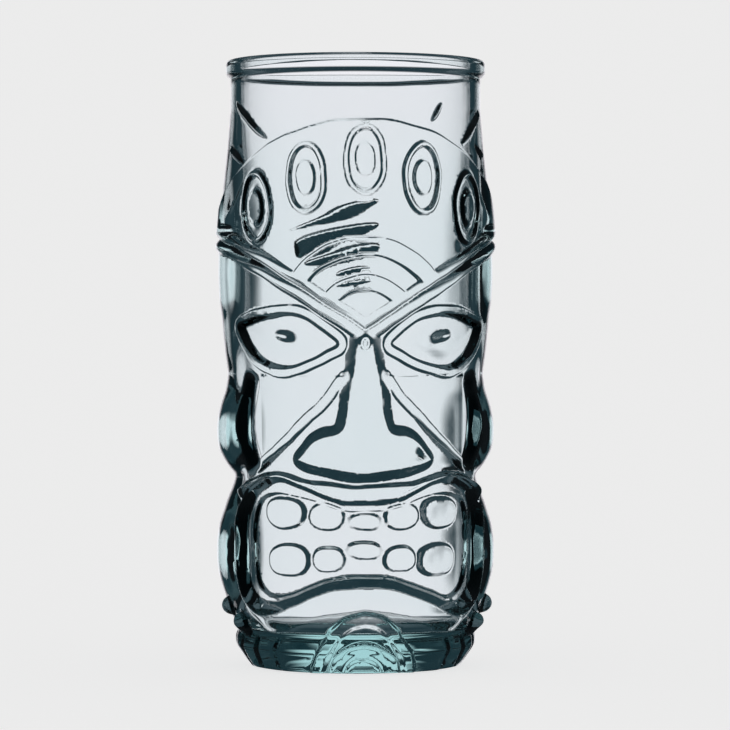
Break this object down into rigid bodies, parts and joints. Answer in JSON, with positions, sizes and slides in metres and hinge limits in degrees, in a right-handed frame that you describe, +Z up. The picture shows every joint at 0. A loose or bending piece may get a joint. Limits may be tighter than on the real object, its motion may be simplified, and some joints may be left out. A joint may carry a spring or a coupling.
{
  "type": "tiki tumbler",
  "caption": "Tall pressed-glass tumbler with a rounded lip, a thick foot and a carved-mask face in relief on its front; open hollow for a drink.",
  "frame": {"origin": "middle of the underside of the foot, where the tumbler stands", "axes": "+Z up the tumbler's axis to the open mouth; the face looks towards -Y; +X is to the right of someone looking at the face"},
  "size_m": [0.0776, 0.077, 0.168],
  "materials": {
    "clear_glass": "fire-polished clear recycled glass with a pale teal tint",
    "thick_glass": "the same glass where it is thick, so its teal tint is deep"
  },
  "bodies": {
    "root": {"rim": "clear_glass", "wall": "clear_glass", "base": "thick_glass"}
  },
  "joints": []
}
